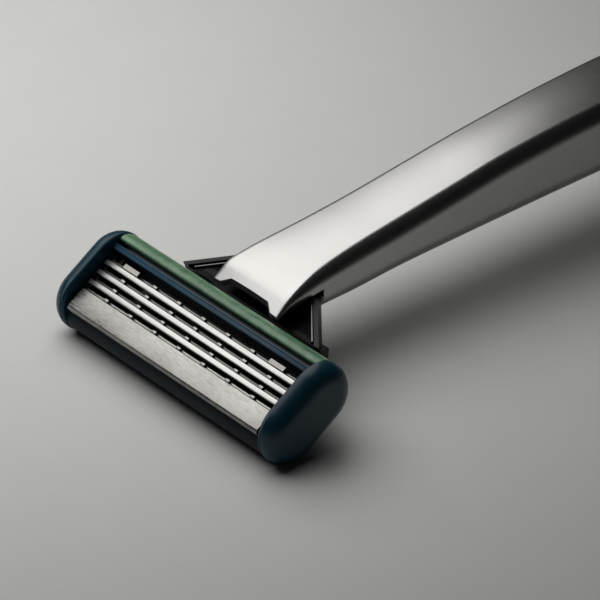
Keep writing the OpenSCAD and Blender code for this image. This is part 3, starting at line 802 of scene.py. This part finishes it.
@dataclass
class Outline:
    """The handle's side and top view, as smooth curves through a few stations.

    Attributes:
        stations: Distance behind the blade line, height of the top, half width and radius of the
            top's long edges.
        under: Distance behind the blade line and height of the underside.
        hood_under: The same for the underside of the hood.
    """

    stations: tuple[tuple[float, float, float, float], ...] = (
        (6.7, 0.64, 5.85, 0.3), (7.5, 1.28, 5.91, 0.6), (8.9, 2.35, 6.0, 1.0),
        (11.1, 3.10, 5.94, 1.6), (13.9, 3.72, 5.76, 2.1), (19.6, 4.50, 5.52, 2.5),
        (26.5, 5.35, 5.40, 2.65), (34.5, 6.45, 5.34, 2.65), (43.7, 7.70, 5.28, 2.65),
        (56.3, 8.80, 5.40, 2.65), (68.9, 9.30, 5.58, 2.7), (81.5, 9.0, 5.76, 2.7),
        (94.1, 7.70, 5.94, 2.7), (106.7, 5.60, 6.0, 2.7), (118.2, 3.0, 5.88, 2.7),
        (128.47, 0.4, 5.58, 2.6))
    under: tuple[tuple[float, float], ...] = (
        (13.9, -1.90), (19.6, -2.10), (26.5, -1.80), (34.5, -1.60), (43.7, -1.45), (56.3, -1.15),
        (68.9, -1.0), (81.5, -1.40), (94.1, -2.70), (106.7, -4.70), (118.2, -7.0), (128.47, -10.2))
    hood_under: tuple[tuple[float, float], ...] = (
        (6.7, -0.10), (7.5, 0.30), (8.9, 0.75), (11.1, 1.10), (13.9, 1.35))

    def read(self, table: Sequence[Sequence[float]], column: int, y: float) -> float:
        """Reads a smooth curve through a table's column.

        Args:
            table: Rows that start with their distance behind the blade line.
            column: The column to read.
            y: The distance behind the blade line.

        Returns:
            The curve's value there.
        """
        i = max(0, min(len(table) - 2, sum(row[0] <= y for row in table) - 1))

        def slope(k: int) -> float:
            before, after = max(k - 1, 0), min(k + 1, len(table) - 1)
            rise = table[after][column] - table[before][column]
            return rise / (table[after][0] - table[before][0])

        step = table[i + 1][0] - table[i][0]
        s = (y - table[i][0]) / step
        return ((2 * s ** 3 - 3 * s ** 2 + 1) * table[i][column]
                + (s ** 3 - 2 * s ** 2 + s) * step * slope(i)
                + (3 * s ** 2 - 2 * s ** 3) * table[i + 1][column]
                + (s ** 3 - s ** 2) * step * slope(i + 1))

    def top(self, y: float) -> float:
        """Returns the height of the top."""
        return self.read(self.stations, 1, y)

    def half(self, y: float) -> float:
        """Returns half the width."""
        return self.read(self.stations, 2, y)

    def radius(self, y: float) -> float:
        """Returns the radius of the long edges."""
        return self.read(self.stations, 3, y)

    def low(self, y: float) -> float:
        """Returns the height of the underside."""
        return self.read(self.under, 1, y)


def arch(half: float, edge: float, far: float, radius: float, crown: float = 0.3,
         ridge: float = 0.0) -> list[Point]:
    """Works out an open section with round shoulders and a crowned middle.

    Args:
        half: Half its width.
        edge: Height of its two ends.
        far: Height of its middle, above or below the ends.
        radius: Radius of the shoulders.
        crown: How far the middle bulges.
        ridge: Lean of the shoulder where it meets the middle, or 0 for a smooth meeting.

    Returns:
        Points from the left end over the middle to the right end.
    """
    up = 1 if far > edge else -1
    radius = min(radius, 0.9 * half, 0.9 * abs(far - edge))
    bulge = crown / half ** 2
    lean = ridge
    for _ in range(4):
        reach = half - radius + radius * math.sin(lean)
        lean = ridge or math.atan(2 * bulge * reach)
    centre = far - up * (bulge * reach ** 2 + radius * math.cos(lean))
    side, corner, middle = 4, 12, 15
    right = [(half, edge + (centre - edge) * i / side) for i in range(side)]
    right += [(half - radius + radius * math.cos(a), centre + up * radius * math.sin(a))
              for a in ((math.pi / 2 - lean) * i / corner for i in range(corner))]
    right += [(x, far - up * bulge * x ** 2)
              for x in (reach * (1 - i / middle) for i in range(middle))]
    return [(-x, z) for x, z in right] + [(0.0, far)] + right[::-1]


@dataclass
class Handle:
    """The steel handle, with its hood, tail cap, grip and the release under it.

    Attributes:
        outline: The handle's outline.
        hood_y: Front edge of the hood.
        mouth_y: Front of the solid part.
        shell: Thickness of the hood's shell.
        notch: Depth of the notch in the hood's front edge.
        ridge: Lean of the long shoulders where they meet the top, in radians.
        notch_inner: Half width of the notch at its bottom.
        notch_outer: Half width of the notch at the horns' tips.
        waist: Height of the line between the handle's upper and lower half at the mouth.
        waist_run: Distance over which that line moves to the middle.
        cap_len: Length of the tail cap.
        cap_round: Radius of its end.
        seam: Width of the line between it and the handle.
        grip_half: Half width of the grip.
        grip_deep: How far it goes into the handle.
        grip_proud: How far it stands out.
        grip_plain: Length without grooves at each end.
        groove_pitch: Distance from one groove to the next.
        groove_deep: Depth of a groove.
        groove_share: Share of the pitch that a groove takes.
        room: Clearance round what sits in the handle.
        wire: Radius of the coil's wire.
        turns: Turns of the coil.
    """

    outline: Outline = field(default_factory=Outline)
    hood_y: float = 6.7
    mouth_y: float = 13.9
    shell: float = 0.9
    notch: float = 0.7
    ridge: float = math.radians(28)
    notch_inner: float = 3.36
    notch_outer: float = 4.56
    waist: float = 1.35
    waist_run: float = 12.0
    cap_len: float = 6.0
    cap_round: float = 2.4
    seam: float = 0.12
    grip_half: float = 3.2
    grip_deep: float = 1.2
    grip_proud: float = 0.3
    grip_plain: float = 3.0
    groove_pitch: float = 2.4
    groove_deep: float = 0.32
    groove_share: float = 0.38
    room: float = 0.05
    wire: float = 0.12
    turns: int = 5

    def build(self) -> None:
        """Builds every piece of the handle and its release."""
        self.body()
        self.tail_cap()
        self.grip()
        self.ejector_coil()
        softened("dock_block", DOCK_ABS, 0.12)
        softened("release_button", BUTTON_ABS, 0.15)
        softened("ejector", EJECTOR_ACETAL, 0.06)
        softened("dock_screw", SCREW_OXIDE, 0.05)
        for node, finish in (("balance_weight", WEIGHT_ZINC), ("detent_spring", WIRE_STEEL)):
            softened(node, finish, 0.02)

    def notch_shape(self) -> Mesh:
        """Returns the prism that is cut from the hood's front edge, between its two horns."""
        front, back = self.hood_y, self.hood_y + self.notch
        inner, outer = self.notch_inner, self.notch_outer
        corners = ((-outer, front - 1), (-outer, front), (-inner, back),
                   (inner, back), (outer, front), (outer, front - 1))
        return prism([(x, y, -1) for x, y in corners], (0, 0, 4))

    def hood_ring(self, y: float) -> list[Vector]:
        """Returns a closed ring round the hood's shell: over its outside and back under its roof."""
        line = self.outline
        top, half, radius = line.top(y), line.half(y), line.radius(y)
        edge = line.read(line.hood_under, 1, y)
        roof = max(top - self.shell, edge + 0.12)
        outside = arch(half, edge, top, radius, ridge=self.ridge)
        inside = arch(half - self.shell, edge, roof, max(radius - self.shell, 0.2))
        return [Vector((x, y, z)) for x, z in outside + inside[::-1]]

    def body_ring(self, y: float, inset: float = 0.0) -> list[Vector]:
        """Returns a closed ring round the solid handle, shrunk by inset."""
        line = self.outline
        top, low, half = line.top(y) - inset, line.low(y) + inset, line.half(y) - inset
        radius = max(line.radius(y) - inset, 0.3)
        moved = max(0.0, min(1, (y - self.mouth_y) / self.waist_run))
        waist = self.waist + (0.5 * (top + low) - self.waist) * moved
        over = arch(half, waist, top, radius, ridge=self.ridge)
        under = arch(half, waist, low, radius, 0.15)
        return [Vector((x, y, z)) for x, z in over + under[::-1]]

    @property
    def joint_y(self) -> float:
        """Where the tail cap starts."""
        return HANDLE_AXES.local(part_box("tail_cap")[1]).y - self.cap_len

    def body(self) -> None:
        """Builds the handle and its hood as one skin, then cuts its seats."""
        hood = [self.hood_y + d for d in (0, 0.12, 0.3, 0.55, 0.9, 1.4, 2.0, 2.8, 3.8, 5.0, 6.2)]
        rings = [self.hood_ring(y) for y in hood] + [self.hood_ring(self.mouth_y)]
        count = 90
        run = self.joint_y - self.mouth_y
        rings += [self.body_ring(self.mouth_y + run * i / count) for i in range(count + 1)]
        mesh = skin(rings, close_ends=False)
        close(mesh)
        Piece("handle_shell", mesh, HANDLE_AXES, Body.HANDLE, HANDLE_STEEL, ("handle_body",),
              edge=0.09, cutters=self.seats()).place()

    def seats(self) -> list[Mesh]:
        """Returns what is cut from the handle: the notch, then rooms for the dock, button and grip."""
        dock_low, dock_high = handle_box("dock_block")
        gap = Vector((self.room, self.room, self.room))
        mouth = block(dock_low - gap - Vector((0, 1, 0)), dock_high + gap)
        low, high = handle_box("release_button")
        button = block((low.x - 0.15, low.y - 2.15, low.z - 2),
                       (high.x + 0.15, high.y + 0.15, high.z + 0.15))
        return [self.notch_shape(), mouth, button, self.grip_shape(self.room, 1.0)]

    def tail_cap(self) -> None:
        """Builds the cap at the tail: round at its end and flat where it rests."""
        tail = self.joint_y + self.cap_len
        rounding, seam = self.cap_round, self.seam
        straight = self.cap_len - rounding - seam
        rows = [(self.joint_y + seam + straight * i / 6, 0.0) for i in range(6)]
        rows += [(tail - rounding * (1 - math.sin(a)), rounding * (1 - math.cos(a)))
                 for a in (math.pi / 2 * i / 10 for i in range(11))]
        mesh = skin([self.body_ring(y, inset) for y, inset in rows])
        floor = HANDLE_AXES.local(Vector((0, 0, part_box("tail_cap")[0].z))).z
        sides = mesh.verts[:] + mesh.edges[:] + mesh.faces[:]
        bmesh.ops.bisect_plane(mesh, geom=sides, plane_co=(0, 0, floor), plane_no=(0, 0, -1),
                               clear_outer=True)
        close(mesh)
        Piece("tail_cap_shell", mesh, HANDLE_AXES, Body.HANDLE, HANDLE_STEEL, ("tail_cap",),
              edge=0.12).place()

    def grip_shape(self, gap: float, below: float) -> Mesh:
        """Returns the strip under the handle that the grip fills, without its grooves.

        Args:
            gap: How much wider and deeper than the grip it is.
            below: How far it stands out under the handle.

        Returns:
            The strip, closed at its ends.
        """
        low, high = handle_box("grip_insert")
        half, start, end = self.grip_half + gap, low.y - gap, high.y + gap
        count = 30
        rings = []
        for y in (start + (end - start) * i / count for i in range(count + 1)):
            base = self.outline.low(y)
            roof = base + self.grip_deep + gap
            rings.append([Vector((x, y, z)) for x, z in (
                (-half, base - below), (-half, roof), (half, roof), (half, base - below))])
        return skin(rings)

    def grip(self) -> None:
        """Builds the rubber grip, with its cross grooves."""
        low, high = handle_box("grip_insert")
        length = high.y - low.y
        step = 0.15
        count = int(length / step)
        rings = []
        for i in range(count + 1):
            y = low.y + length * i / count
            phase = ((y - low.y - self.grip_plain) % self.groove_pitch) / self.groove_pitch
            dip = 0.0
            if self.grip_plain < y - low.y < length - self.grip_plain and phase < self.groove_share:
                wave = math.cos(math.pi * (phase - self.groove_share / 2) / self.groove_share)
                dip = self.groove_deep * max(0.0, wave)
            end = min(y - low.y, high.y - y)
            fade = 0.28 * (1 - min(1.0, end / 0.8)) ** 2
            base = self.outline.low(y)
            under = arch(self.grip_half, base + 0.5, base - self.grip_proud + dip + fade, 0.55, 0.1)
            over = arch(self.grip_half, base + 0.5, base + self.grip_deep, 0.2, 0.0)
            rings.append([Vector((x, y, z)) for x, z in over + under[::-1]])
        Piece("grip_pad", skin(rings), HANDLE_AXES, Body.HANDLE, GRIP_RUBBER,
              ("grip_insert",)).place()

    def ejector_coil(self) -> None:
        """Builds the coil spring round the ejector's rod as one helix."""
        low, high = handle_box("ejector_spring")
        wire, turns = self.wire, self.turns
        coil = (high.x - low.x) / 2 - wire
        mesh = bmesh.new()
        loop = bmesh.ops.create_circle(mesh, cap_ends=False, radius=wire, segments=10)
        for axis in "YZ":
            bmesh.ops.rotate(mesh, verts=mesh.verts, cent=(0, 0, 0),
                             matrix=Matrix.Rotation(math.pi / 2, 3, axis))
        centre = (low + high) / 2
        bmesh.ops.translate(mesh, verts=loop["verts"], vec=(coil, low.y + wire, centre.z))
        steps = turns * 28
        travel = (high.y - low.y - 2 * wire) / steps
        bmesh.ops.spin(mesh, geom=mesh.edges[:] + mesh.verts[:], cent=(0, 0, centre.z), axis=(0, 1, 0),
                       dvec=(0, travel, 0), angle=2 * math.pi * turns, steps=steps, use_merge=False)
        close(mesh)
        made = Piece("ejector_coil", mesh, HANDLE_AXES, Body.HANDLE, WIRE_STEEL, ("ejector_spring",),
                     crease=80).place()
        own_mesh(made)


@dataclass
class Yoke:
    """The black fork that carries the cartridge, with its return wires and pins.

    Attributes:
        edge: Radius of the fork's edges.
    """

    edge: float = 0.14

    def build(self) -> None:
        """Builds every piece of the yoke."""
        softened("yoke", YOKE_ACETAL, self.edge)
        for side in Side:
            name = side.name.lower()
            softened(f"return_wire_{name}", WIRE_STEEL, 0.04)
            softened(f"pivot_pin_{name}", WIRE_STEEL, 0.05)


# ---- studio ----


@dataclass
class Lamp:
    """A soft box that points at a spot.

    Attributes:
        name: Its name.
        place: Where it stands, in the handle's axes.
        width: Its width.
        height: Its height.
        watts: Its power.
        aim: The spot it points at.
    """

    name: str
    place: tuple[float, float, float]
    width: float
    height: float
    watts: float
    aim: tuple[float, float, float]

    def hang(self) -> None:
        """Adds the lamp to the scene."""
        data = bpy.data.lights.new(self.name, "AREA")
        data.shape = "RECTANGLE"
        data.size, data.size_y = self.width * MM, self.height * MM
        data.energy = self.watts
        lamp = add_object(self.name, data)
        lamp.location = HANDLE_AXES.matrix @ Vector(self.place)
        towards = HANDLE_AXES.matrix @ Vector(self.aim) - lamp.location
        lamp.rotation_euler = towards.to_track_quat("-Z", "Y").to_euler()
        lamp.visible_camera = False


@dataclass
class Studio:
    """The floor, the soft box and the camera.

    Attributes:
        azimuth: The camera's direction round the razor, in degrees.
        elevation: Its height above the horizon, in degrees.
        distance: Its distance from what it looks at.
        aside: How far to the right of the blades' middle it looks.
        above: How far above it looks.
        lens: Focal length on a 36 mm sensor.
        lamps: The soft boxes.
    """

    azimuth: float = 50.01
    elevation: float = 32.25
    distance: float = 641.0
    aside: float = 11.55
    above: float = 2.29
    lens: float = 330.8
    lamps: tuple[Lamp, ...] = (
        Lamp("key_softbox", (-90.0, -6.0, 115.0), 185.0, 185.0, 0.22, aim=(-67.0, -28.0, -9.0)),
    )

    def build(self) -> None:
        """Sets up the floor, the lamps and the camera."""
        self.floor()
        for lamp in self.lamps:
            lamp.hang()
        self.sky()
        self.camera()

    def floor(self) -> None:
        """Lays a wide paper floor under the razor."""
        mesh = bmesh.new()
        bmesh.ops.create_grid(mesh, x_segments=1, y_segments=1, size=1500.0)
        bmesh.ops.translate(mesh, verts=mesh.verts, vec=(0, 0, HANDLE_AXES.local(CAD_BOX[0]).z))
        ground = add_mesh("floor", mesh, HANDLE_AXES)
        ground.data.materials.append(FLOOR_PAPER.material())

    def sky(self) -> None:
        """Fills the room with a very dim grey."""
        world = bpy.data.worlds.new("room")
        bpy.context.scene.world = world
        world.use_nodes = True
        tree = world.node_tree
        tree.nodes.clear()
        air = add_node(tree, "ShaderNodeBackground", {"Color": linear("#b9bcc0"), "Strength": 0.012})
        add_node(tree, "ShaderNodeOutputWorld", {"Surface": air.outputs["Background"]})
        bpy.context.scene.view_settings.view_transform = "Standard"

    def camera(self) -> None:
        """Sets up a long lens that looks down on the cartridge from the right."""
        turn, rise = math.radians(self.azimuth), math.radians(self.elevation)
        flat = math.cos(rise)
        back = Vector((math.sin(turn) * flat, -math.cos(turn) * flat, math.sin(rise)))
        right = Vector((math.cos(turn), math.sin(turn), 0))
        up = back.cross(right)
        data = bpy.data.cameras.new("camera")
        data.lens, data.sensor_width = self.lens, 36.0
        data.clip_start, data.clip_end = 0.05, 20.0
        eye = add_object("camera", data)
        place = HANDLE_AXES.matrix @ (right * self.aside + up * self.above + back * self.distance)
        eye.matrix_world = Matrix.Translation(place) @ Matrix((right, up, back)).transposed().to_4x4()
        bpy.context.scene.camera = eye


def main() -> None:
    """Builds the studio and the razor, sub-assembly by sub-assembly."""
    logging.basicConfig(level=logging.INFO, format="%(name)s %(message)s")
    Studio().build()
    Handle().build()
    Yoke().build()
    Cartridge().build()


if __name__ == "__main__":
    main()
